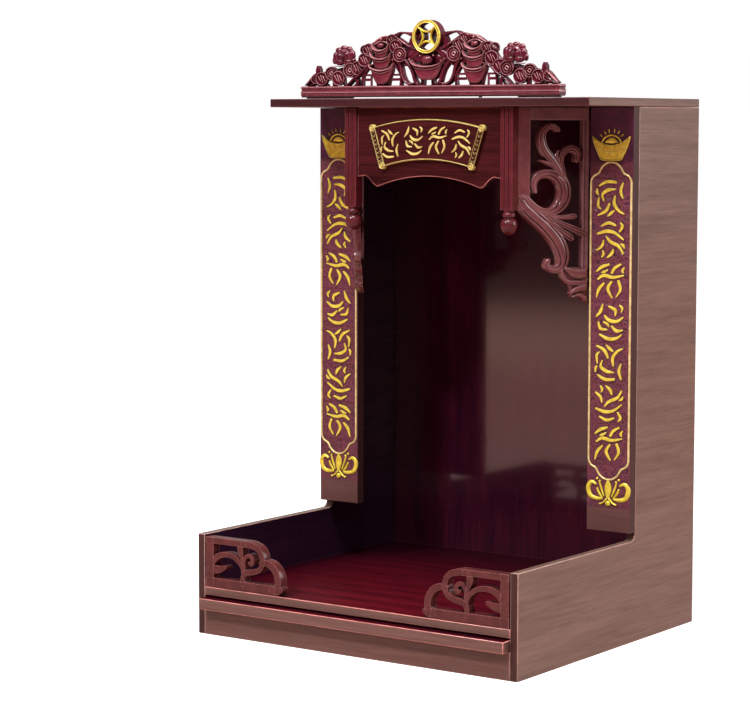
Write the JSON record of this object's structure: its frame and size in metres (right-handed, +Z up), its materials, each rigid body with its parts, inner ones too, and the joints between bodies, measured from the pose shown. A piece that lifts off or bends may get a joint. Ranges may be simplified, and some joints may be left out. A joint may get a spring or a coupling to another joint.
{
  "type": "household altar cabinet",
  "caption": "Open-fronted household altar cabinet with a low offering step, gilded couplet boards, scroll brackets, a carved crest and a pull-out board.",
  "frame": {"origin": "on the ground, under the middle of the cabinet's bounding box", "axes": "+X to the cabinet's right as its front is seen, -Y out of its open front, +Z up"},
  "size_m": [0.41, 0.38, 0.6638],
  "materials": {
    "mahogany_film": "board under a satin mahogany-grain film",
    "dark_film": "board under a glossy dark red-black film",
    "floor_film": "board under a satin deep red grained film",
    "couplet_film": "maroon patterned board, satin",
    "red_moulding": "dark red moulded resin, glossy",
    "gilding": "gold-plated moulded resin, satin metallic"
  },
  "bodies": {
    "cabinet": {"side_panel_left": "mahogany_film", "side_panel_right": "mahogany_film", "back_panel": "dark_film", "top_board": "mahogany_film", "floor_board": "floor_film", "plinth_board": "mahogany_film", "runner_left": "mahogany_film", "runner_right": "mahogany_film", "couplet_board_left": "couplet_film", "couplet_board_right": "couplet_film", "header_board": "floor_film", "header_plaque": "gilding", "post_left": "red_moulding", "post_right": "red_moulding", "bracket_left": "red_moulding", "bracket_right": "red_moulding", "corner_fretwork_left": "red_moulding", "corner_fretwork_right": "red_moulding", "crest": "red_moulding"},
    "pull_out": {"pull_out_board": "mahogany_film"}
  },
  "joints": [
    {"name": "pull_out_slide", "type": "slide", "parent": "cabinet", "child": "pull_out", "axis": [0, -1, 0], "range_m": [0, 0.2]}
  ]
}
